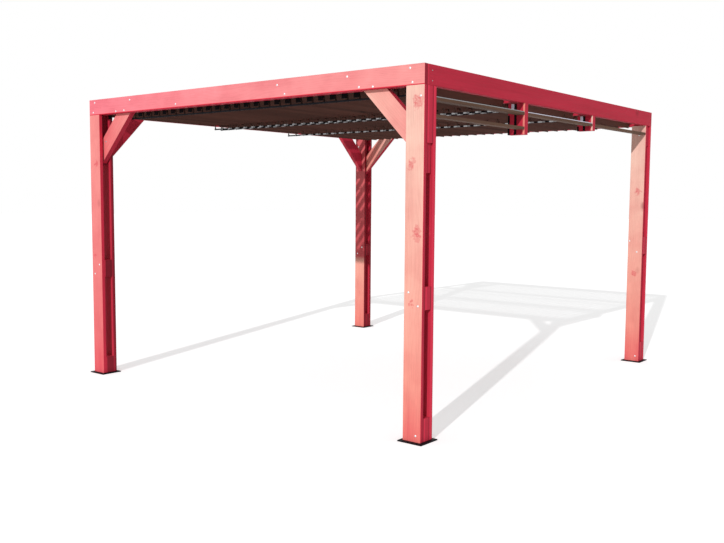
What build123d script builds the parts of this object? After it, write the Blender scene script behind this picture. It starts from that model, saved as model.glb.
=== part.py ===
from build123d import *
from math import cos, radians, sin
import os

# Garden pergola of red-stained timber with a roof of tilting brown slats.
# Millimetres, +Z up, origin on the ground under the middle of the frame.
# +X runs along the front beam to the right, +Y from the front to the back.

os.makedirs("parts", exist_ok=True)

# Overall size over the outer faces of the beams
frame_width = 3400.0
frame_depth = 3650.0
frame_height = 2300.0

# Beams round the roof, standing on edge
beam_thickness = 45.0
beam_height = 125.0

# Posts: two boards with spacer blocks between them
post_width = 132.0
post_depth = 130.0
board_thickness = 30.0
block_setback = 12.0
brace_housing = 32.0

# Steel plate under each post
plate_side = 180.0
plate_thickness = 8.0

# Corner blocks behind the beams
corner_block_side = 70.0
corner_block_height = 105.0

# Knee braces at 45 degrees
brace_thickness = 45.0
brace_width = 132.0
brace_reach = 365.0
front_brace_rise = 20.0
side_brace_rise = 70.0
brace_clearance = 0.3

# Bearers of the slats: a rail behind the front and back beams and two joists
rail_thickness = 30.0
bearer_height = 80.0
joist_thickness = 48.0
joist_lift = 10.0
joist_positions = (1259.0, 2394.0)

# Slats, all turned to the same angle; 0 is flat, 90 is upright
slat_count = 31
slat_pitch = 101.7
slat_width = 95.0
slat_thickness = 20.0
slat_angle = 75.0
pivot_height = 33.0
pivot_radius = 5.0
pivot_sides = 8
pivot_clearance = 0.3
slat_rail_gap = 20.0
slat_joist_gap = 8.0

# Levers under the slats and the flat bars that join them
lever_radius = 77.6
lever_angle = 202.0
lever_thickness = 4.0
lever_gap = 0.5
bar_thickness = 4.0
bar_height = 12.0
bar_overhang = 7.0
bar_positions = (99.0, 1219.0, 1293.0, 2206.0)
bar_first_slats = (1, 0, 0, 0)

# Stub posts under the right beam and the slim slats that run between them
stub_heights = (220.0, 120.0)
side_slat_width = 60.0
side_slat_thickness = 19.0
side_slat_drops = (64.0, 165.0)

# Places worked out from the sizes above
half_width = frame_width / 2
half_depth = frame_depth / 2
beam_underside = frame_height - beam_height
bearer_top = beam_underside + bearer_height
pivot_level = beam_underside + pivot_height
brace_inset = beam_thickness + brace_thickness / 2


def board_box(x_range, y_range, z_range):
    # A sawn board given by its low and high faces, added to the part being built
    with Locations(Plane((x_range[0], y_range[0], z_range[0]))):
        Box(
            x_range[1] - x_range[0],
            y_range[1] - y_range[0],
            z_range[1] - z_range[0],
            align=(Align.MIN, Align.MIN, Align.MIN),
        )


def save(builder, label):
    builder.part.label = label
    export_step(builder.part, f"parts/{label}.step")


def inward(side, half, near, far):
    # Range between two distances measured inward from an outer face
    ends = (side * (half - near), side * (half - far))
    return (min(ends), max(ends))


# Side in X and in Y of each corner, the top of its foot block, the levels of its
# middle block and the top blocks as drops below the beam with their setback
corners = {
    "front_left": (-1, -1, 145, (827, 968), ((0, 415, 0),)),
    "front_right": (1, -1, 155, (825, 967), ((0, 341, 0), (341, 520, block_setback))),
    "back_left": (-1, 1, 153, (844, 969), ((0, 415, 0),)),
    "back_right": (1, 1, 183, (1002, 1164), ((0, 182, block_setback),)),
}

for name, (side_x, side_y, foot_top, middle_levels, top_drops) in corners.items():
    post_x = inward(side_x, half_width, 0, post_width)
    slot_y = inward(side_y, half_depth, board_thickness, post_depth - board_thickness)
    with BuildPart() as post:
        for near in (0, post_depth - board_thickness):
            board_y = inward(side_y, half_depth, near, near + board_thickness)
            board_box(post_x, board_y, (plate_thickness, beam_underside))
        board_box(post_x, slot_y, (plate_thickness, foot_top))
        board_box(post_x, slot_y, middle_levels)
        for upper, lower, setback in top_drops:
            block_x = inward(side_x, half_width, setback, post_width - brace_housing)
            board_box(block_x, slot_y, (beam_underside - lower, beam_underside - upper))
    save(post, f"{name}_post")

# Black steel plates under the posts
for name, (side_x, side_y, *levels) in corners.items():
    centre_x = side_x * (half_width - post_width / 2)
    centre_y = side_y * (half_depth - post_depth / 2)
    with BuildPart() as plate:
        with BuildSketch(Plane.XY) as plate_outline:
            with Locations((centre_x, centre_y)):
                Rectangle(plate_side, plate_side)
        extrude(amount=plate_thickness)
    save(plate, f"{name}_foot_plate")

# Beams: the front and back ones cover the ends of the side ones
beam_levels = (beam_underside, frame_height)
for name, side_y in (("front_beam", -1), ("back_beam", 1)):
    with BuildPart() as beam:
        board_box((-half_width, half_width), inward(side_y, half_depth, 0, beam_thickness), beam_levels)
    save(beam, name)
for name, side_x in (("left_beam", -1), ("right_beam", 1)):
    side_span = (beam_thickness - half_depth, half_depth - beam_thickness)
    with BuildPart() as beam:
        board_box(inward(side_x, half_width, 0, beam_thickness), side_span, beam_levels)
    save(beam, name)

# Blocks in the four corners that the beams are screwed to
block_end = beam_thickness + corner_block_side
with BuildPart() as corner_blocks:
    for side_x, side_y in ((-1, -1), (1, -1), (-1, 1), (1, 1)):
        board_box(
            inward(side_x, half_width, beam_thickness, block_end),
            inward(side_y, half_depth, beam_thickness, block_end),
            (beam_underside, beam_underside + corner_block_height),
        )
save(corner_blocks, "corner_blocks")

# Rails and joists, notched from above for the pivots of the slats
first_slat = -(slat_count - 1) / 2 * slat_pitch
slat_places = [first_slat + index * slat_pitch for index in range(slat_count)]
notch_width = 2 * (pivot_radius + pivot_clearance)
notch_floor = pivot_level - pivot_radius - pivot_clearance


def notched_bearer(x_range, y_range, underside, brace_notches=()):
    with BuildPart() as bearer:
        board_box(x_range, y_range, (underside, bearer_top))
        for low, high in brace_notches:
            with Locations(Plane((low, y_range[0], beam_underside))):
                Box(
                    high - low,
                    y_range[1] - y_range[0],
                    front_brace_rise + brace_clearance,
                    align=(Align.MIN, Align.MIN, Align.MIN),
                    mode=Mode.SUBTRACT,
                )
        for place in slat_places:
            notch_x = (place - notch_width / 2, place + notch_width / 2)
            with Locations(Plane((notch_x[0], y_range[0], notch_floor))):
                Box(
                    notch_width,
                    y_range[1] - y_range[0],
                    bearer_top - notch_floor,
                    align=(Align.MIN, Align.MIN, Align.MIN),
                    mode=Mode.SUBTRACT,
                )
    return bearer


# The braces rise a little behind the beams, so the rails are notched over them
brace_leg = brace_width * 2**0.5
notch_near = post_width + brace_reach - brace_leg - brace_clearance
notch_far = post_width + brace_reach + front_brace_rise + brace_clearance
rail_x = (block_end - half_width, half_width - block_end)
for name, side_y, brace_sides in (("front_slat_rail", -1, (-1, 1)), ("back_slat_rail", 1, (-1,))):
    rail_y = inward(side_y, half_depth, beam_thickness, beam_thickness + rail_thickness)
    notches = [inward(side_x, half_width, notch_near, notch_far) for side_x in brace_sides]
    save(notched_bearer(rail_x, rail_y, beam_underside, notches), name)

joist_x = (beam_thickness - half_width, half_width - beam_thickness)
joist_faces = []
for name, position in zip(("front_joist", "back_joist"), joist_positions):
    middle = position - half_depth
    faces = (middle - joist_thickness / 2, middle + joist_thickness / 2)
    joist_faces.append(faces)
    save(notched_bearer(joist_x, faces, beam_underside + joist_lift), name)

# Slats: one blade in each bay, the three blades of a line joined by their pivots
rail_inner = half_depth - beam_thickness - rail_thickness
outer_end = rail_inner - slat_rail_gap
blade_spans = [
    (-outer_end, joist_faces[0][0] - slat_joist_gap),
    (joist_faces[0][1] + slat_joist_gap, joist_faces[1][0] - slat_joist_gap),
    (joist_faces[1][1] + slat_joist_gap, outer_end),
]
pivot_ends = (-rail_inner - rail_thickness + 1, rail_inner + rail_thickness - 1)
blade_x = (cos(radians(slat_angle)), 0, sin(radians(slat_angle)))
lever_x = lever_radius * cos(radians(lever_angle))
lever_y = -lever_radius * sin(radians(lever_angle))
lever_offset = bar_thickness / 2 + lever_gap - half_depth


def slat_plane(place, y):
    # Section plane of a slat, with its X axis along the width of the blade
    return Plane(origin=(place, y, pivot_level), x_dir=blade_x, z_dir=(0, 1, 0))


for index, place in enumerate(slat_places):
    with BuildPart() as slat:
        for low, high in blade_spans:
            with BuildSketch(slat_plane(place, low)) as blade_section:
                Rectangle(slat_width, slat_thickness)
            extrude(amount=high - low)
        pivot_spans = [
            (pivot_ends[0], blade_spans[0][0]),
            (blade_spans[0][1], blade_spans[1][0]),
            (blade_spans[1][1], blade_spans[2][0]),
            (blade_spans[2][1], pivot_ends[1]),
        ]
        for low, high in pivot_spans:
            with BuildSketch(slat_plane(place, low)) as pivot_section:
                RegularPolygon(pivot_radius, pivot_sides)
            extrude(amount=high - low)
        for bar, first in zip(bar_positions, bar_first_slats):
            if index < first:
                continue
            with BuildSketch(slat_plane(place, bar + lever_offset)) as lever_outline:
                Polygon(
                    (-14, 8),
                    (-34, 8),
                    (-44, 15.5),
                    (lever_x - 6, lever_y - 7),
                    (lever_x - 7, lever_y + 5),
                    (lever_x + 4, lever_y + 7),
                    align=None,
                )
            extrude(amount=lever_thickness)
    save(slat, f"slat_{index + 1:02d}")

# Flat bars under the slats that turn all of them together; the front one starts at
# the second slat, because the post is in its way beside the first
turn = radians(slat_angle + lever_angle)
bar_shift = lever_radius * cos(turn)
bar_level = pivot_level + lever_radius * sin(turn)
with BuildPart() as tie_bars:
    for bar, first in zip(bar_positions, bar_first_slats):
        middle = bar - half_depth
        board_box(
            (slat_places[first] + bar_shift - bar_overhang, slat_places[-1] + bar_shift + bar_overhang),
            (middle - bar_thickness / 2, middle + bar_thickness / 2),
            (bar_level - bar_height / 2, bar_level + bar_height / 2),
        )
save(tie_bars, "tie_bars")

# Knee braces at 45 degrees, drawn with X away from the post and Y up:
# cut upright where they meet the post and level at the top
def build_brace(plane, start, foot_level, top):
    with BuildPart() as brace:
        with BuildSketch(plane) as outline:
            with BuildLine():
                Polyline(
                    (start, foot_level),
                    (start + top - foot_level, top),
                    (start + top - foot_level - brace_leg, top),
                    (start, foot_level + brace_leg),
                    close=True,
                )
            make_face()
        extrude(amount=brace_thickness / 2, both=True)
    return brace


brace_foot = beam_underside - brace_reach

# Along the front and back beams, with the foot housed in the slot of the post
for name, side_x, side_y in (
    ("front_left_brace", -1, -1),
    ("front_right_brace", 1, -1),
    ("back_left_brace", -1, 1),
):
    origin = (side_x * half_width, side_y * (half_depth - brace_inset), 0)
    plane = Plane(origin, x_dir=(-side_x, 0, 0), z_dir=(0, side_x, 0))
    start = post_width - brace_housing
    save(build_brace(plane, start, brace_foot - brace_housing, beam_underside + front_brace_rise), name)

# Along the left beam, with the foot against the inner board of the post
for name, side_y in (("left_front_brace", -1), ("left_back_brace", 1)):
    origin = (brace_inset - half_width, side_y * half_depth, 0)
    plane = Plane(origin, x_dir=(0, -side_y, 0), z_dir=(-side_y, 0, 0))
    save(build_brace(plane, post_depth, brace_foot, beam_underside + side_brace_rise), name)

# Stub posts under the right beam at the joists; the lower slat stops at the first one
stub_x = (half_width - post_width, half_width)
with BuildPart() as stub_posts:
    for span, height in zip(joist_faces, stub_heights):
        board_box(stub_x, span, (beam_underside - height, beam_underside))
save(stub_posts, "stub_posts")

side_slat_x = (half_width - side_slat_width, half_width)
upper_runs = (
    (post_depth - half_depth, joist_faces[0][0]),
    (joist_faces[0][1], joist_faces[1][0]),
    (joist_faces[1][1], half_depth - post_depth),
)
with BuildPart() as side_slats:
    for drop, runs in zip(side_slat_drops, (upper_runs, upper_runs[:1])):
        top = beam_underside - drop
        for run in runs:
            board_box(side_slat_x, run, (top - side_slat_thickness, top))
save(side_slats, "side_slats")
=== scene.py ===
import math
import bmesh
import bpy
from mathutils import Matrix, Vector


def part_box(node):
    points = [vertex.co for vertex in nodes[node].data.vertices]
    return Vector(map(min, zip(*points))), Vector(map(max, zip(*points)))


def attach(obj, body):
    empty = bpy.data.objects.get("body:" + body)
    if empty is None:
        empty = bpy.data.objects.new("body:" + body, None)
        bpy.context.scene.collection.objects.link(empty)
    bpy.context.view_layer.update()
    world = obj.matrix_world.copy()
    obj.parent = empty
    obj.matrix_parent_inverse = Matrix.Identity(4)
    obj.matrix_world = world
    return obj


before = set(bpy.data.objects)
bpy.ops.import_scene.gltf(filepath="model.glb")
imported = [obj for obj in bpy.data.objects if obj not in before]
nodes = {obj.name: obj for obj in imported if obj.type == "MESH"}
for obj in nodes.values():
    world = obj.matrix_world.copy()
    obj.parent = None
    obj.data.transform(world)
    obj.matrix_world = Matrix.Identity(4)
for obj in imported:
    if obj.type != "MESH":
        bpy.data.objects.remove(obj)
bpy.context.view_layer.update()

print("frame loaded")

mm = 0.001

# Sizes of the frame that the fittings are placed by, in metres and degrees
house = {
    "halfWidth": 1.700,
    "halfDepth": 1.825,
    "postDepth": 0.130,
    "railFace": 0.075,       # from the outside of the front and back beams
    "pivotLevel": 2.208,
    "slatPitch": 0.1017,
    "slatCount": 31,
    "slatAngle": 75.0,
    "leverRadius": 0.0776,
    "leverAngle": 202.0,
}


def linear(hexColour):
    # sRGB hex to linear RGBA
    parts = [int(hexColour[i:i + 2], 16) / 255 for i in (0, 2, 4)]
    return [p / 12.92 if p <= 0.04045 else ((p + 0.055) / 1.055) ** 2.4 for p in parts] + [1.0]


def addNode(tree, kind, settings=None, inputs=(), stops=()):
    # Adds one node. Its inputs go by name or number, or as a list in their own order: a socket
    # is linked, a node is linked by its first output, and anything else is set.
    # Stops are the (place, grey) pairs of a colour ramp
    node = tree.nodes.new("ShaderNode" + kind)
    for key, value in (settings or {}).items():
        setattr(node, key, value)
    for key, value in (inputs if isinstance(inputs, dict) else dict(enumerate(inputs))).items():
        if isinstance(value, bpy.types.Node):
            value = value.outputs[0]
        if isinstance(value, bpy.types.NodeSocket):
            tree.links.new(value, node.inputs[key])
        else:
            node.inputs[key].default_value = value
    if stops:
        elements = node.color_ramp.elements
        elements.remove(elements[1])
        for order, (place, grey) in enumerate(stops):
            element = elements.new(place) if order else elements[0]
            element.position = place
            element.color = (grey, grey, grey, 1)
    return node


def newMaterial(name):
    material = bpy.data.materials.new(name)
    material.use_nodes = True
    material.node_tree.nodes.clear()
    return material, material.node_tree


# Node settings that are used again and again
add, multiply, subtract = {"operation": "ADD"}, {"operation": "MULTIPLY"}, {"operation": "SUBTRACT"}
multiplyAdd, divide = {"operation": "MULTIPLY_ADD"}, {"operation": "DIVIDE"}
smooth = {"interpolation_type": "SMOOTHSTEP"}
mixed = {"data_type": "RGBA", "blend_type": "MIX"}
tinted = {"data_type": "RGBA", "blend_type": "MULTIPLY"}
noiseSpan = (0.3, 0.7)      # a noise stays mostly between these values


# Sawn spruce under a thin coat of red stain: matt, the grain shows through, the sides that
# face the sun are salmon and peach, partly sun fading and partly painted sunlight, and knots stay dark
timber = {
    "stain": "C42C43",
    "deep": "86101F",                # streaks where the coat lies thick
    "ring": "B06060",
    "knot": "7A1A26",
    "paleKnot": "C8404E",            # single knots on the salmon and peach sunny faces
    # red near the ground: painted shade at the posts' feet
    "groundShade": "CF3F50",
    "ringSpacing": 11 * mm,          # real rings are about 3 mm, too fine to show here
    "ringShape": [(0.0, 0.25), (0.55, 0.35), (0.88, 1.0), (1.0, 0.25)],
    "ringStrength": 0.10,
    "driftSize": 384.6 * mm,         # size of the pith's bends, their reach, and how far they
    "driftReach": 160 * mm,          # are drawn out along the board
    "driftStretch": 0.35,
    "fibreAcross": 2.5 * mm,         # real fibres are finer than a pixel
    "fibreAlong": 90 * mm,
    "fibreShade": (0.90, 1.06),
    "streakAcross": 45.45 * mm,
    "streakAlong": 625 * mm,
    "streakSpan": (0.35, 0.75),
    "streakStrength": (0.30, 0.22),  # on plain stain, and what is left of it on the faded, painted-sunlit stain
    "blotchSize": 222.2 * mm,        # patches of thicker and thinner coat
    "blotchShade": (0.74, 1.0),
    "knotSpacing": 260 * mm,
    "knotShape": [(0.0, 1.0), (0.05, 0.9), (0.09, 0.35), (0.13, 0.0)],
    "knotStretch": 0.62,
    "knotStrength": 0.55,
    "knotEdge": 26.316 * mm,         # size and reach of the ragged outline
    "knotRagged": 12 * mm,
    "paleKnotRagged": 90 * mm,
    "paleKnotShape": [(0.0, 0.7), (0.25, 0.3), (0.45, 0.85), (0.62, 0.3), (0.8, 0.4), (1.0, 0.0)],
    "paleKnotStrength": 0.9,
    "paleKnotFlat": 0.8,             # they are a little taller than wide
    "sunnySpan": (0.25, 0.8),        # how far a face looks to the front, from none to full fading and painted sunlight
    "sideSpan": (0.4, 0.6),          # and to the side
    "groundShadeSpan": (0.02, 0.40),        # heights between which the redder colour runs out
    "groundShadeOffSun": 0.3,
    "roughness": 0.66,
    "roughSpread": (-0.08, 0.12),
    "ringRelief": 0.5,
    "bumpDepth": 0.7 * mm,
    "bumpStrength": 0.5,
    "specular": 0.18,
    "ior": 1.45,
}


def makeTimber(name, turn, box, fadedAndLit=None, fadeAndLight=0.0, look=timber, pith=(70 * mm, 110 * mm), tones=None):
    # the colours of the sunny side at the two ends of the board, partly fading and partly painted
    # sunlight; how much of them shows; where the pith lies beside the board; what differs from place to
    # place
    tones = tones or {}
    fadedAndLit = fadedAndLit or (look["stain"], look["stain"])
    low, high = box
    material, tree = newMaterial(name)
    coordinate = addNode(tree, "TexCoord").outputs
    spot = addNode(tree, "SeparateXYZ", inputs=[coordinate["Object"]]).outputs
    facing = addNode(tree, "SeparateXYZ", inputs=[coordinate["Normal"]]).outputs
    centred = addNode(tree, "VectorMath", subtract, [coordinate["Object"], tuple((low + high) / 2)])
    board = addNode(tree, "Mapping", None, {"Vector": centred, "Rotation": turn, "Location": (*pith, 0)})

    # the pith wanders slowly along the board, which draws long arches on flat faces
    wander = addNode(tree, "Mapping", None, {"Vector": board, "Scale": (1, 1, look["driftStretch"])})
    drift = addNode(tree, "TexNoise", None, {
        "Vector": wander, "Scale": 1 / look["driftSize"], "Detail": 2.0, "Roughness": 0.5})
    reach = (look["driftReach"], look["driftReach"], 0)
    drifted = addNode(tree, "VectorMath", multiplyAdd, [drift.outputs["Color"], reach, board])
    flattened = addNode(tree, "VectorMath", multiply, [drifted, (1, 1, 0)])
    radius = addNode(tree, "VectorMath", {"operation": "LENGTH"}, [flattened]).outputs["Value"]
    count = addNode(tree, "Math", divide, [radius, look["ringSpacing"]])
    phase = addNode(tree, "Math", {"operation": "FRACT"}, [count])
    rings = addNode(tree, "ValToRGB", inputs=[phase], stops=look["ringShape"])

    # fibres and streaks: noise drawn out along the board
    drawn = []
    for grain, roughness in (("fibre", 0.6), ("streak", 0.55)):
        across, along = 1 / look[grain + "Across"], 1 / look[grain + "Along"]
        space = addNode(tree, "Mapping", None, {"Vector": board, "Scale": (across, across, along)})
        drawn.append(addNode(tree, "TexNoise", None, {
            "Vector": space, "Scale": 1.0, "Detail": 3.0, "Roughness": roughness}))
    fibre, streak = drawn
    blotch = addNode(tree, "TexNoise", None, {
        "Vector": board, "Scale": 1 / look["blotchSize"], "Detail": 3.0, "Roughness": 0.5})

    # knots: scattered cells with a ragged edge, a little longer along the board
    knotSpace = addNode(tree, "Mapping", None, {"Vector": board, "Scale": (1, 1, look["knotStretch"])})
    ragged = addNode(tree, "TexNoise", None, {
        "Vector": board, "Scale": 1 / look["knotEdge"], "Detail": 2.0, "Roughness": 0.5}).outputs["Color"]
    pushed = addNode(tree, "VectorMath", multiplyAdd, [ragged, (look["knotRagged"],) * 3, knotSpace])
    cells = addNode(tree, "TexVoronoi", {"feature": "F1"}, {
        "Vector": pushed, "Scale": 1 / look["knotSpacing"], "Randomness": 1.0})
    knot = addNode(tree, "ValToRGB", inputs=[cells], stops=look["knotShape"])

    # fading and painted sunlight follow the sunny side, patchy and weaker where the coat was thick
    towardsFront = addNode(tree, "Math", multiply, [facing[1], -1.0])
    sunny = addNode(tree, "MapRange", smooth, [towardsFront, *look["sunnySpan"]])
    limits = [addNode(tree, "MapRange", None, [blotch, *noiseSpan, *look["blotchShade"]]), fadeAndLight]
    # only a thin skin at the front gets the sunny colour; the faces deeper in, in the slot, keep the red:
    # painted shade
    if "frontOnly" in tones:
        start, end = (low.y + depth for depth in tones["frontOnly"])
        limits.append(addNode(tree, "MapRange", None, [spot[1], start, end, 1.0, 0.0]))
    # the sunny colour shows fully below these heights and only a little above them: painted shade from the
    # roof on the upper part
    if "sunPaintedBelow" in tones:
        limits.append(addNode(tree, "MapRange", smooth, [
            spot[2], *tones["sunPaintedBelow"], 1.0, tones["sunPaintedAbove"]]))
    # only a narrow strip at the outer edge gets the sunny colour: a painted sunlit strip; the rest of the
    # face keeps the red as painted shade
    if "sunlitEdgeStrip" in tones:
        start, end = (high.x - depth for depth in tones["sunlitEdgeStrip"])
        limits.append(addNode(tree, "MapRange", None, [spot[0], start, end]))
    fadeAndLightAmount = sunny
    for limit in limits:
        fadeAndLightAmount = addNode(tree, "Math", multiply, [fadeAndLightAmount, limit])

    # the faded, painted-sunlit colour runs from one end of the board to the other
    longest = max(range(3), key=lambda axis: round(high[axis] - low[axis], 3))
    along = addNode(tree, "MapRange", None, [spot[longest], low[longest], high[longest]])
    fadedLitColour = addNode(tree, "Mix", mixed, {
        0: along, 6: linear(fadedAndLit[0]), 7: linear(fadedAndLit[1])}).outputs[2]
    colour = addNode(tree, "Mix", mixed, {
        0: fadeAndLightAmount, 6: linear(look["stain"]), 7: fadedLitColour}).outputs[2]

    # the thick streaks, rings, fibres and knots come over it in turn
    streakFull, streakLeft = look["streakStrength"]
    thick = addNode(tree, "MapRange", None, [streak, *look["streakSpan"], 0.0, streakFull])
    left = addNode(tree, "MapRange", None, [fadeAndLightAmount, 0.0, 1.0, 1.0, streakLeft])
    amount = addNode(tree, "Math", multiply, [thick, left])
    colour = addNode(tree, "Mix", mixed, {0: amount, 6: colour, 7: linear(look["deep"])}).outputs[2]
    amount = addNode(tree, "Math", multiply, [rings, look["ringStrength"]])
    colour = addNode(tree, "Mix", tinted, {0: amount, 6: colour, 7: linear(look["ring"])}).outputs[2]
    shade = addNode(tree, "MapRange", None, [fibre, *noiseSpan, *look["fibreShade"]])
    colour = addNode(tree, "Mix", tinted, {0: 1.0, 6: colour, 7: shade}).outputs[2]
    amount = addNode(tree, "Math", multiply, [knot, look["knotStrength"]])
    colour = addNode(tree, "Mix", mixed, {0: amount, 6: colour, 7: linear(look["knot"])}).outputs[2]

    # single knots with a darker ring, at (x, z, radius)
    for knotX, knotZ, size in tones.get("knots", []):
        reach = look["paleKnotRagged"]
        pushed = addNode(tree, "VectorMath", multiplyAdd, [ragged, (reach, 0, reach), coordinate["Object"]])
        middle = (knotX + reach / 2, 0, knotZ + reach / 2)
        away = addNode(tree, "VectorMath", subtract, [pushed, middle])
        away = addNode(tree, "VectorMath", multiply, [away, (1 / size, 0, look["paleKnotFlat"] / size)])
        distance = addNode(tree, "VectorMath", {"operation": "LENGTH"}, [away]).outputs["Value"]
        shape = addNode(tree, "ValToRGB", inputs=[distance], stops=look["paleKnotShape"])
        lit = addNode(tree, "Math", multiply, [shape, sunny])
        amount = addNode(tree, "Math", multiply, [lit, look["paleKnotStrength"]])
        colour = addNode(tree, "Mix", mixed, {
            0: amount, 6: colour, 7: linear(look["paleKnot"])}).outputs[2]

    # on the sides, the boards of a post and the end of a beam get bands of painted highlight and
    # painted shade, darkest in the slot and the joints. A side drawn darker, as painted shade, is also
    # redder
    if "sideShading" in tones:
        sideways = addNode(tree, "Math", {"operation": "ABSOLUTE"}, [facing[0]])
        onSide = addNode(tree, "MapRange", None, [sideways, *look["sideSpan"]])
        across = addNode(tree, "MapRange", None, [spot[1], low.y, high.y])
        brightest = max(grey for place, grey in tones["sideShading"])
        tone = addNode(tree, "ValToRGB", inputs=[across],
            stops=[(place, grey / brightest) for place, grey in tones["sideShading"]])
        toned = addNode(tree, "Mix", tinted, {0: 1.0, 6: colour, 7: tone}).outputs[2]
        # the side's level: below 1 it is painted shade, above 1 painted light
        lift = (tones["side"], tones["side"] ** 1.5, tones["side"] ** 1.5)
        lifted = addNode(tree, "VectorMath", multiply, [toned, [brightest * part for part in lift]])
        colour = addNode(tree, "Mix", mixed, {0: onSide, 6: colour, 7: lifted}).outputs[2]

    # neighbouring slats took the stain a little differently
    if "boardPitch" in tones:
        count = addNode(tree, "Math", divide, [spot[0], tones["boardPitch"]])
        shifted = addNode(tree, "Math", add, [count, 0.5])
        number = addNode(tree, "Math", {"operation": "FLOOR"}, [shifted])
        own = addNode(tree, "TexWhiteNoise", {"noise_dimensions": "1D"}, {"W": number})
        shade = addNode(tree, "MapRange", None, [own, 0.0, 1.0, *tones["boardShade"]])
        colour = addNode(tree, "Mix", tinted, {0: 1.0, 6: colour, 7: shade}).outputs[2]

    # a darker, redder line along the lower edge of the sunny face: painted shade
    if "lowerEdgeShade" in tones:
        start, end = (low.z + up for up in tones["lineSpan"])
        edge = addNode(tree, "MapRange", None, [spot[2], start, end, 1.0, 0.0])
        amount = addNode(tree, "Math", multiply, [sunny, edge])
        colour = addNode(tree, "Mix", mixed, {
            0: amount, 6: colour, 7: linear(tones["lowerEdgeShade"])}).outputs[2]

    # redder towards the ground, less on faces turned from the sun: painted shade at the posts' feet, weak
    # on the back left post
    most = tones.get("groundShade", 1.0)
    near = addNode(tree, "MapRange", smooth, [spot[2], *look["groundShadeSpan"], 1.0, 0.0])
    streaky = addNode(tree, "Math", multiply, [near, streak])
    share = addNode(tree, "MapRange", None, [sunny, 0.0, 1.0, look["groundShadeOffSun"] * most, most])
    amount = addNode(tree, "Math", multiply, [streaky, share])
    colour = addNode(tree, "Mix", mixed, {0: amount, 6: colour, 7: linear(look["groundShade"])}).outputs[2]

    smoothest, roughest = (look["roughness"] + spread for spread in look["roughSpread"])
    rough = addNode(tree, "MapRange", None, [fibre, *noiseSpan, smoothest, roughest])
    relief = addNode(tree, "Math", multiply, [rings, look["ringRelief"]])
    height = addNode(tree, "Math", add, [relief, fibre])
    bump = addNode(tree, "Bump", None, {
        "Height": height, "Distance": look["bumpDepth"], "Strength": look["bumpStrength"]})
    shader = addNode(tree, "BsdfPrincipled", None, {
        "Base Color": colour, "Roughness": rough, "Normal": bump, "IOR": look["ior"],
        "Specular IOR Level": look["specular"]})
    addNode(tree, "OutputMaterial", None, {"Surface": shader})
    return material


def dress(node, *materials):
    mesh = nodes[node].data
    mesh.materials.clear()
    for material in materials:
        mesh.materials.append(material)


easing = {"weld": 0.01 * mm, "segments": 2, "angle": 40}


def easeEdges(node, width):
    # The loose triangles are welded, then the sharp edges get a small round
    weld = nodes[node].modifiers.new("weld", "WELD")
    weld.merge_threshold = easing["weld"]
    bevel = nodes[node].modifiers.new("ease", "BEVEL")
    bevel.width = width
    bevel.segments = easing["segments"]
    bevel.limit_method = "ANGLE"
    bevel.angle_limit = math.radians(easing["angle"])


# Turns that lay the grain along a board: by its axis, and for the slanting braces
quarter = math.pi / 2
turns = {
    "x": (0, -quarter, 0),
    "y": (quarter, 0, 0),
    "z": (0, 0, 0),
    "x+": (0, -quarter / 2, 0),
    "x-": (0, quarter / 2, 0),
    "y+": (quarter / 2, 0, 0),
    "y-": (-quarter / 2, 0, 0),
}

# Faded colours with painted sunlight at the two ends of a board: the left, front or lower end, then the
# other. Pink turns redder towards its lower end: painted shade on the front left post's lower part
salmon, pink, peach = ("EE808C", "EE9C98"), ("E06E70", "EE9892"), ("EC9080", "EFCCBA")
palePeach = ("EFC0AE", "EE9E96")

# Painted light and shade on a post's side: share of the way from front to back, then brightness. The
# bright bands are painted highlights on sunlit edges, the dark ones painted shade in the gaps. The slot is
# in the middle
postSideShading = [
    (0.0, 1.4), (0.05, 1.35), (0.075, 0.85), (0.215, 0.78), (0.235, 0.42), (0.27, 0.5),
    (0.29, 1.4), (0.38, 1.35), (0.43, 1.0), (0.68, 0.95), (0.71, 0.5), (0.75, 0.5), (0.77, 1.3),
    (0.82, 1.38), (0.95, 1.25), (0.985, 0.7), (1.0, 0.7),
]
leftPostSideShading = [       # a painted highlight on the front board and painted shade in the slot
    (0.0, 1.35), (0.2, 1.2), (0.22, 0.8), (0.235, 1.4), (0.26, 1.3), (0.285, 0.42),
    (0.76, 0.42), (0.78, 0.9), (0.84, 0.62), (1.0, 0.35),
]
# the end of a beam: painted highlights at its edges, painted shade between
beamEndShading = [(0.0, 1.3), (0.1, 0.65), (0.7, 0.6), (0.78, 1.4)]
litFrontSkin = (3 * mm, 8 * mm)        # only the front of a post gets the faded, painted-sunlit colour, to this depth; deeper faces keep the red, painted shade

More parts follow.
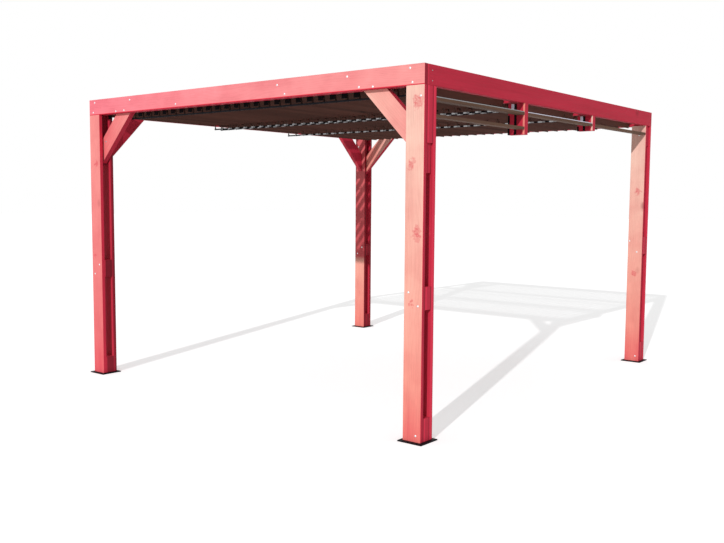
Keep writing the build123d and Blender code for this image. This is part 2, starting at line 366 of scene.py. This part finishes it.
# Each board: way of its grain, faded and painted-sunlit colours, how far they show (kept low on boards
# that lie in shade, which is painted shade), and its tones
boards = {
    "front_beam": ("x", salmon, 1.0, {
        "lowerEdgeShade": "D21E3A", "lineSpan": (4 * mm, 8 * mm), "side": 1.0, "sideShading": beamEndShading}),
    "back_beam": ("x", salmon, 0.3, {}),
    "left_beam": ("y", salmon, 0.3, {}),
    "right_beam": ("y", salmon, 0.3, {}),
    "front_slat_rail": ("x", None, 0.0, {}),
    "back_slat_rail": ("x", None, 0.0, {}),
    "front_joist": ("x", None, 0.0, {}),
    "back_joist": ("x", None, 0.0, {}),
    "corner_blocks": ("z", None, 0.0, {}),
    "front_left_post": ("z", pink, 1.0, {
        "frontOnly": litFrontSkin, "side": 1.0, "sideShading": leftPostSideShading,
        "knots": [(-1.625, 1.774, 0.022), (-1.667, 1.006, 0.020)]}),
    "front_right_post": ("z", peach, 1.0, {
        "frontOnly": litFrontSkin, "side": 1.15, "sideShading": postSideShading, "groundShade": 0.85,
        "knots": [(1.656, 2.075, 0.042), (1.612, 1.705, 0.030), (1.655, 1.290, 0.040),
            (1.62, 0.87, 0.018)]}),
    "back_left_post": ("z", peach, 1.0, {
        "frontOnly": litFrontSkin, "side": 0.55, "sideShading": postSideShading, "groundShade": 0.4,
        "sunPaintedBelow": (0.78, 0.84), "sunPaintedAbove": 0.2}),
    "back_right_post": ("z", peach, 1.0, {
        "frontOnly": litFrontSkin, "side": 1.1, "sideShading": postSideShading,
        "knots": [(1.647, 1.577, 0.030), (1.634, 0.824, 0.026)]}),
    "front_left_brace": ("x+", pink, 1.0, {}),
    "front_right_brace": ("x-", palePeach, 1.0, {}),
    "back_left_brace": ("x+", peach, 0.85, {}),
    "left_front_brace": ("y+", pink, 0.1, {}),
    "left_back_brace": ("y-", pink, 0.1, {}),
    "stub_posts": ("z", peach, 0.95, {"sunlitEdgeStrip": (15 * mm, 13 * mm)}),
}

for order, (node, (way, fadedAndLit, fadeAndLight, tones)) in enumerate(boards.items()):
    # each board was cut at another place beside the pith
    pith = ((60 + 13 * (order % 5)) * mm, (90 + 17 * (order % 4)) * mm)
    material = makeTimber("stainedSpruce_" + node, turns[way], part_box(node), fadedAndLit, fadeAndLight,
        pith=pith, tones=tones)
    dress(node, material)
    easeEdges(node, 2.0 * mm)
print("red timber done")

# The same spruce under brown stain: the roof slats are dark and matt, each a little different,
# and the side slats are paler and greyer from the weather
slatLook = dict(timber, stain="55352C", deep="2A1A16", knot="241512", roughness=0.7)
sideLook = dict(slatLook, stain="664B3B")
slatWood = makeTimber("brownStainedSpruce", turns["y"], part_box("slat_16"), look=slatLook,
    tones={"boardPitch": house["slatPitch"], "boardShade": (0.78, 1.22)})
sideSlatWood = makeTimber("brownStainedSpruce_side", turns["y"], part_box("side_slats"),
    ("86705A", "86705A"), 0.6, look=sideLook)

# Metals and plastic: colour, metallic, roughness, how much that varies, specular level
finishes = {
    # screws and bolts: pale grey with a soft shine
    "zincPlatedSteel": ("DDE0E2", 0.88, 0.48, 0.10, 0.5),
    # brackets and the far trim: the same zinc drawn nearly white, a painted sunlit copy
    "zincPlatedSteel_paintedSunlit": ("DAD8E8", 0.3, 0.4, 0.08, 0.5),
    # plates, side screws and the near trim: the same zinc drawn mid grey, a painted shaded copy
    "zincPlatedSteel_paintedShade": ("9B9C9E", 0.55, 0.55, 0.10, 0.5),
    # foot plates, tie bars and the stub posts' bolts: powder coat, black with hardly any shine; on the tie
    # bars the black is painted shade on zinc
    "blackCoatedSteel_andPaintedShade": ("131216", 0.0, 0.5, 0.10, 0.06),
    # levers and pins: as dark as the slats, so that they hardly show
    "brownCoatedSteel": ("35231D", 0.0, 0.6, 0.08, 0.06),
    # moulded holders: the blackest and most matt of all; on the stub posts, strips of it are painted shade
    "blackPlasticAndShade": ("0B070A", 0.0, 0.7, 0.08, 0.06),
}
cloudy = {"size": 16.67 * mm, "shade": (0.82, 1.05), "bumpDepth": 0.2 * mm, "bumpStrength": 0.3}


def makeMetal(name, colour, metallic, roughness, spread, specular):
    material, tree = newMaterial(name)
    coordinate = addNode(tree, "TexCoord").outputs
    cloud = addNode(tree, "TexNoise", None, {
        "Vector": coordinate["Object"], "Scale": 1 / cloudy["size"], "Detail": 4.0, "Roughness": 0.6})
    rough = addNode(tree, "MapRange", None, [cloud, *noiseSpan, roughness - spread, roughness + spread])
    shade = addNode(tree, "MapRange", None, [cloud, *noiseSpan, *cloudy["shade"]])
    base = addNode(tree, "Mix", tinted, {0: 1.0, 6: linear(colour), 7: shade}).outputs[2]
    bump = addNode(tree, "Bump", None, {
        "Height": cloud, "Distance": cloudy["bumpDepth"], "Strength": cloudy["bumpStrength"]})
    shader = addNode(tree, "BsdfPrincipled", None, {
        "Base Color": base, "Roughness": rough, "Normal": bump, "Metallic": metallic,
        "Specular IOR Level": specular})
    addNode(tree, "OutputMaterial", None, {"Surface": shader})
    return material


zinc, sunlitZinc, shadedZinc, blackSteelAndShade, brownSteel, blackPlasticAndShade = (
    makeMetal(name, *finish) for name, finish in finishes.items())

# The slats: wood, and steel on the faces that lie outside the blade or round a pin
slat = {"halfThick": 10.2 * mm, "pinRadius": 5.2 * mm, "pinSide": 0.5}
turn = math.radians(house["slatAngle"])
bladeNormal = Vector((math.sin(turn), 0, -math.cos(turn)))
firstSlat = -(house["slatCount"] - 1) / 2 * house["slatPitch"]
slatPlaces = [firstSlat + index * house["slatPitch"] for index in range(house["slatCount"])]
for index, x in enumerate(slatPlaces):
    node = f"slat_{index + 1:02d}"
    dress(node, slatWood, brownSteel)
    centre = Vector((x, 0, house["pivotLevel"]))
    for face in nodes[node].data.polygons:
        away = face.center - centre
        away.y = 0
        outOfBlade = abs(away.dot(bladeNormal)) > slat["halfThick"]
        nearPin = away.length < slat["pinRadius"] and abs(face.normal.y) < slat["pinSide"]
        if outOfBlade or nearPin:
            face.material_index = 1

dress("side_slats", sideSlatWood)
easeEdges("side_slats", 2.0 * mm)
# the tie bars are drawn black: painted shade
dress("tie_bars", blackSteelAndShade)
easeEdges("tie_bars", 0.6 * mm)
for corner in ("front_left", "front_right", "back_left", "back_right"):
    dress(corner + "_foot_plate", blackSteelAndShade)
    easeEdges(corner + "_foot_plate", 1.0 * mm)
print("slats and metal done")


# Screws: a low domed head on a washer rim. Each layer: lower and upper radius, depth, level
screw = {
    "sides": 14,
    "layers": [(7.5 * mm, 6.5 * mm, 1.2 * mm, 0.6 * mm), (5.98 * mm, 2.925 * mm, 1.44 * mm, 1.872 * mm)],
}


def addScrew(bm, position, outward, scale=1.0):
    turnTo = Vector((0, 0, 1)).rotation_difference(Vector(outward)).to_matrix().to_4x4()
    place = Matrix.Translation(position) @ turnTo @ Matrix.Scale(scale, 4)
    for lower, upper, depth, level in screw["layers"]:
        bmesh.ops.create_cone(bm, cap_ends=True, segments=screw["sides"], radius1=lower, radius2=upper,
            depth=depth, matrix=place @ Matrix.Translation((0, 0, level)))


def finishPiece(name, bm, material, body="frame"):
    bmesh.ops.recalc_face_normals(bm, faces=bm.faces)
    mesh = bpy.data.meshes.new(name)
    bm.to_mesh(mesh)
    bm.free()
    mesh.materials.append(material)
    piece = bpy.data.objects.new(name, mesh)
    bpy.context.scene.collection.objects.link(piece)
    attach(piece, body)


# Places in mm: across from the left end, then height
beamScrewPlaces = [
    (74, 2275), (51, 2196), (364, 2190), (471, 2192), (549, 2270), (1115, 2201), (2186, 2261),
    (2256, 2197), (2804, 2267), (2900, 2194), (3011, 2189), (3294, 2278), (3312, 2193),
]
postScrewPlaces = {
    "front_left": [(98, 930), (34, 850)],
    "front_right": [(3374, 2110), (3299, 931), (3370, 851), (3364, 48)],
    "back_right": [(3340, 2090), (3281, 1123), (3352, 1024), (3368, 55)],
    "back_left": [(40, 2090), (98, 935), (34, 860)],
}
sideScrewPlaces = {"fromFront": 83, "levels": (2264, 2203), "scale": 0.55, "onBrace": (158, 1956)}

# the back beam has the same screws, turned round
bm = bmesh.new()
for across, up in beamScrewPlaces:
    x = across * mm - house["halfWidth"]
    addScrew(bm, (x, -house["halfDepth"], up * mm), (0, -1, 0))
    addScrew(bm, (-x, house["halfDepth"], up * mm), (0, 1, 0))
finishPiece("beamScrews", bm, zinc)

bm = bmesh.new()
for side in (-1, 1):
    for up in sideScrewPlaces["levels"]:
        y = sideScrewPlaces["fromFront"] * mm - house["halfDepth"]
        addScrew(bm, (side * house["halfWidth"], y, up * mm), (side, 0, 0), sideScrewPlaces["scale"])
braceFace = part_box("front_left_brace")[0].y
across, up = sideScrewPlaces["onBrace"]
addScrew(bm, (across * mm - house["halfWidth"], braceFace, up * mm), (0, -1, 0))
finishPiece("sideScrews", bm, shadedZinc)

# both faces of each post
bm = bmesh.new()
for corner, places in postScrewPlaces.items():
    outward = -1 if corner.startswith("front") else 1
    outer = outward * house["halfDepth"]
    inner = outer - outward * house["postDepth"]
    for across, up in places:
        x = across * mm - house["halfWidth"]
        addScrew(bm, (x, outer, up * mm), (0, outward, 0))
        addScrew(bm, (x, inner, up * mm), (0, -outward, 0))
finishPiece("postScrews", bm, zinc)
print("screws done")


plateEdge = 0.4 * mm        # width of the eased edges


def addBox(bm, low, high):
    # A plate or strip with eased edges
    size = [b - a for a, b in zip(low, high)]
    middle = [(a + b) / 2 for a, b in zip(low, high)]
    place = Matrix.Translation(middle) @ Matrix.Diagonal(size + [1])
    made = bmesh.ops.create_cube(bm, size=1, matrix=place)
    edges = list(dict.fromkeys(edge for vert in made["verts"] for edge in vert.link_edges))
    bmesh.ops.bevel(bm, geom=edges, offset=plateEdge, offset_type="OFFSET", segments=1, profile=0.5,
        affect="EDGES", material=-1)


# Bolts through the levers and the tie bars, and pale zinc plates on the bars at the bolts, which stand for
# the sunlit patches on the bars: painted sunlight
link = {
    # each bar: its place in mm from the front, its first slat (counted from 0), length of its
    # plates in mm
    "bars": [(99, 1, 0), (1219, 0, 50), (1293, 0, 50), (2206, 0, 66)],
    "boltRadius": 4.0 * mm,
    "boltLength": 5 * mm,
    "boltSides": 6,
    "frontStart": -3.6 * mm,
    "backStart": 6.6 * mm,
    "plateHeight": 12 * mm,
    "plateThick": 1.5 * mm,
    "barHalf": 2 * mm,
    "firstPlate": 2,
}
swing = turn + math.radians(house["leverAngle"])
linkShift = house["leverRadius"] * math.cos(swing)
linkLevel = house["pivotLevel"] + house["leverRadius"] * math.sin(swing)

boltMesh, plateMesh = bmesh.new(), bmesh.new()
for fromFront, firstIndex, plateLength in link["bars"]:
    y = fromFront * mm - house["halfDepth"]
    # the first bar runs close behind the front braces, so its bolts show only at the back
    boltEnds = [(-1, link["frontStart"])] if plateLength else []
    boltEnds.append((1, link["backStart"]))
    for index in range(firstIndex, house["slatCount"]):
        x = slatPlaces[index] + linkShift
        for side, start in boltEnds:
            middle = Vector((x, y + start + side * link["boltLength"] / 2, linkLevel))
            bmesh.ops.create_cone(boltMesh, cap_ends=True, segments=link["boltSides"],
                radius1=link["boltRadius"], radius2=link["boltRadius"], depth=link["boltLength"],
                matrix=Matrix.Translation(middle) @ Matrix.Rotation(quarter, 4, "X"))
        if plateLength and index >= link["firstPlate"]:
            half, rise, face = plateLength * mm / 2, link["plateHeight"] / 2, y - link["barHalf"]
            addBox(plateMesh, (x - half, face - link["plateThick"], linkLevel - rise),
                (x + half, face, linkLevel + rise))
finishPiece("linkBolts", boltMesh, zinc, body="tie_bars")
finishPiece("linkPlates_paintedSunPatches", plateMesh, shadedZinc, body="tie_bars")

# Black holders on the front and back rails, open at the top for the pins of the slats.
# Those over a brace, and all at the back, are shorter. Heights are in metres
holder = {
    "width": 42 * mm,
    "low": 2.143,
    "lowWhenShort": 2.199,
    "high": 2.224,
    "thick": 5 * mm,
    "slotHalf": 6 * mm,
    "slotFloor": 2.2020,
    "braceReach": (0.260, 0.525),
}
bm = bmesh.new()
for side in (-1, 1):
    railFace = side * (house["halfDepth"] - house["railFace"])
    for x in slatPlaces:
        fromEnd = house["halfWidth"] - abs(x)
        overBrace = holder["braceReach"][0] < fromEnd < holder["braceReach"][1]
        low = holder["lowWhenShort"] if overBrace or side > 0 else holder["low"]
        half, high = holder["width"] / 2, holder["high"]
        slot, bottom = holder["slotHalf"], holder["slotFloor"]
        outline = [(-half, low), (half, low), (half, high), (slot, high), (slot, bottom), (-slot, bottom),
            (-slot, high), (-half, high)]
        face = bm.faces.new([bm.verts.new((x + across, railFace, up)) for across, up in outline])
        grown = bmesh.ops.extrude_face_region(bm, geom=[face])
        moved = [item for item in grown["geom"] if isinstance(item, bmesh.types.BMVert)]
        bmesh.ops.translate(bm, verts=moved, vec=(0, -side * holder["thick"], 0))
finishPiece("slatHolders", bm, blackPlasticAndShade)

# On the stub posts: black strips that stand for the dark gaps between boards, painted shade, with bolts,
# and a bracket under the beam, drawn in the painted sunlit zinc. All in mm: across from the post's left
# side, and heights
stub = {
    "joists": ("front_joist", "back_joist"),
    "bottoms": (1955, 2055),
    "left": 1568,               # that side's place from the middle of the frame
    "thick": 3,
    "shadeStrips": [(0, 14, 2092), (50, 68, 2172)],      # start, end, top
    "bracket": (26, 49, 2116, 2172),                # start, end, bottom, top
    "boltLevels": (2145, 2060),
    "lowestBolt": 22,
    "boltAcross": 59,
    "boltScale": 0.7,
}
stubShadeStrips, stubBrackets, stubBolts = bmesh.new(), bmesh.new(), bmesh.new()
for joist, bottom in zip(stub["joists"], stub["bottoms"]):
    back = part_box(joist)[0].y
    front = back - stub["thick"] * mm
    for start, end, top in stub["shadeStrips"]:
        addBox(stubShadeStrips, ((stub["left"] + start) * mm, front, bottom * mm),
            ((stub["left"] + end) * mm, back, top * mm))
    start, end, low, high = stub["bracket"]
    addBox(stubBrackets, ((stub["left"] + start) * mm, front, low * mm),
        ((stub["left"] + end) * mm, back, high * mm))
    for level in (*stub["boltLevels"], bottom + stub["lowestBolt"]):
        place = ((stub["left"] + stub["boltAcross"]) * mm, front, level * mm)
        addScrew(stubBolts, place, (0, -1, 0), stub["boltScale"])
finishPiece("stubBolts", stubBolts, blackSteelAndShade)
finishPiece("stubShadeStrips", stubShadeStrips, blackPlasticAndShade)
finishPiece("stubBrackets", stubBrackets, sunlitZinc)

# A thin metal strip on the upper side slats, in the two bays towards the front. Its pale colour is a
# painted highlight along the slats' top, lighter in the second bay
trim = {"across": (1.690, 1.698), "up": (2.111, 2.1165)}
joistFaces = [face.y for joist in stub["joists"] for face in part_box(joist)]
for name, material, start, end in (
        ("sideSlatTrimFront", shadedZinc, house["postDepth"] - house["halfDepth"], joistFaces[0]),
        ("sideSlatTrimBack", sunlitZinc, joistFaces[1], joistFaces[2])):
    bm = bmesh.new()
    addBox(bm, (trim["across"][0], start, trim["up"][0]), (trim["across"][1], end, trim["up"][1]))
    finishPiece(name, bm, material)
print("links and holders done")


def seenDirectly(tree):
    # 1 where the camera sees this straight, mirrored or through glass, else 0
    path = addNode(tree, "LightPath").outputs
    largest = {"operation": "MAXIMUM"}
    bent = addNode(tree, "Math", largest, [path["Is Glossy Ray"], path["Is Transmission Ray"]])
    return addNode(tree, "Math", largest, [path["Is Camera Ray"], bent])


# A pale floor that shows nearly white, and keeps the shadow
ground = {"colour": 0.88, "glow": 0.42, "halfSize": 60, "drop": 0.5 * mm}
floorMaterial, tree = newMaterial("paleFloor")
diffuse = addNode(tree, "BsdfDiffuse", None, {"Color": (*(ground["colour"],) * 3, 1)})
glow = addNode(tree, "Emission", None, {"Color": (1, 1, 1, 1), "Strength": ground["glow"]})
glowing = addNode(tree, "AddShader", None, [diffuse, glow])
shown = addNode(tree, "MixShader", None, [seenDirectly(tree), diffuse, glowing])
addNode(tree, "OutputMaterial", None, {"Surface": shown})

bm = bmesh.new()
bmesh.ops.create_grid(bm, x_segments=1, y_segments=1, size=ground["halfSize"])
bmesh.ops.translate(bm, verts=bm.verts, vec=(0, 0, -ground["drop"]))
mesh = bpy.data.meshes.new("floor")
bm.to_mesh(mesh)
bm.free()
mesh.materials.append(floorMaterial)
floor = bpy.data.objects.new("floor", mesh)
bpy.context.scene.collection.objects.link(floor)

# A white sky, at half strength as a light and at full strength where it is seen
skyStrength = (0.5, 1.0)
world = bpy.data.worlds.new("paleSky")
bpy.context.scene.world = world
world.use_nodes = True
tree = world.node_tree
tree.nodes.clear()
strength = addNode(tree, "MapRange", None, [seenDirectly(tree), 0.0, 1.0, *skyStrength])
sky = addNode(tree, "Background", None, {"Color": (1, 1, 1, 1), "Strength": strength})
addNode(tree, "OutputWorld", None, {"Surface": sky})

sunLight = {"towards": (0.28, -0.90, 0.36), "strength": 2.5, "softness": 0.7}
lamp = bpy.data.lights.new("sun", "SUN")
lamp.energy = sunLight["strength"]
lamp.angle = math.radians(sunLight["softness"])
sun = bpy.data.objects.new("sun", lamp)
sun.rotation_euler = Vector(sunLight["towards"]).to_track_quat("Z", "Y").to_euler()
bpy.context.scene.collection.objects.link(sun)

# The camera stands off the front right corner, at the photo's place and roll, in metres and degrees
view = {
    "place": (4.6522, -6.0696, 1.5010),
    "azimuth": 38.83,
    "elevation": 4.865,
    "roll": -0.375,
    "lens": 42.82,
    "sensor": 36,
    "farthest": 200,
}
azimuth, elevation, roll = (math.radians(view[key]) for key in ("azimuth", "elevation", "roll"))
back = Vector((math.sin(azimuth) * math.cos(elevation), -math.cos(azimuth) * math.cos(elevation),
    math.sin(elevation)))
right = (-back).cross(Vector((0, 0, 1))).normalized()
down = (-back).cross(right)
rightRolled = right * math.cos(roll) + down * math.sin(roll)
downRolled = down * math.cos(roll) - right * math.sin(roll)
cameraData = bpy.data.cameras.new("camera")
cameraData.lens = view["lens"]
cameraData.sensor_width = view["sensor"]
cameraData.clip_end = view["farthest"]
camera = bpy.data.objects.new("camera", cameraData)
axes = Matrix((rightRolled, -downRolled, back)).transposed().to_4x4()
camera.matrix_world = Matrix.Translation(view["place"]) @ axes
bpy.context.scene.collection.objects.link(camera)
bpy.context.scene.camera = camera
bpy.context.scene.view_settings.view_transform = "Standard"
print("stage done")
